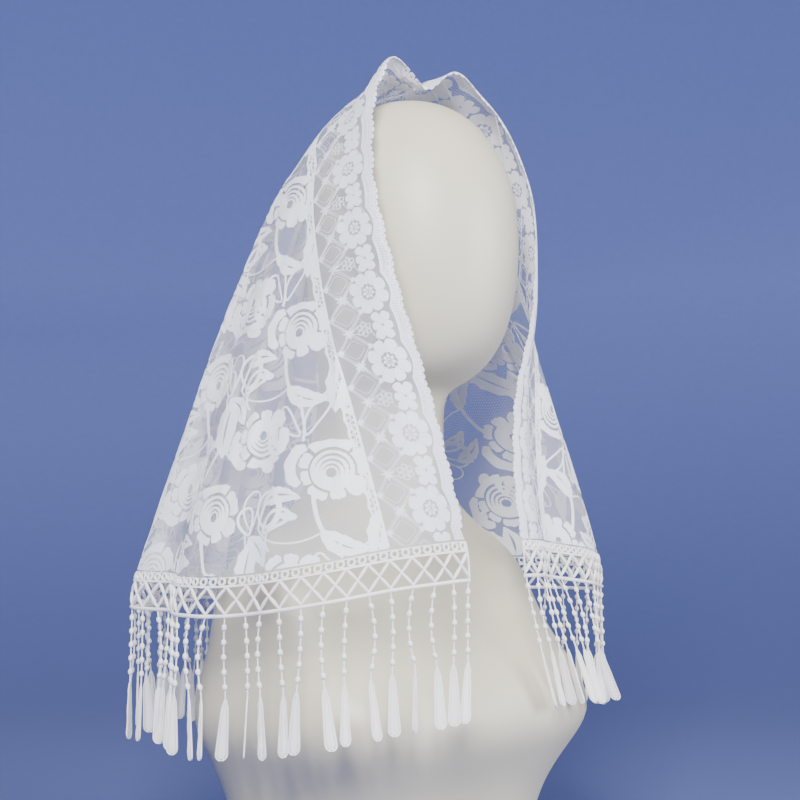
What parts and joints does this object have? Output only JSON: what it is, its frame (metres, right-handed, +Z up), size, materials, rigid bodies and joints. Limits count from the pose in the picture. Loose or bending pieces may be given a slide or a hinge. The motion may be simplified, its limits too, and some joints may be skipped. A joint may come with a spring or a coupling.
{
  "type": "lace shawl on a display bust",
  "caption": "White floral lace head shawl with a scalloped front edge and a beaded fringe, draped over a plain limbless head-and-shoulders display bust.",
  "frame": {"origin": "middle of the bust's flat base, under its neck", "axes": "+Z up, the bust faces -Y, its right side is at -X"},
  "size_m": [0.4193, 0.3439, 0.6346],
  "materials": {
    "rose_lace": "fine white net with matt woven roses",
    "trim_lace": "white scalloped flower lace",
    "guipure": "thick white corded lace",
    "bust": "smooth ivory, faintly satin"
  },
  "bodies": {
    "root": {"rose_lace_body": "rose_lace", "scalloped_front_trim": "trim_lace", "lattice_band": "guipure", "beaded_fringe": "guipure", "display_bust": "bust"}
  },
  "joints": []
}
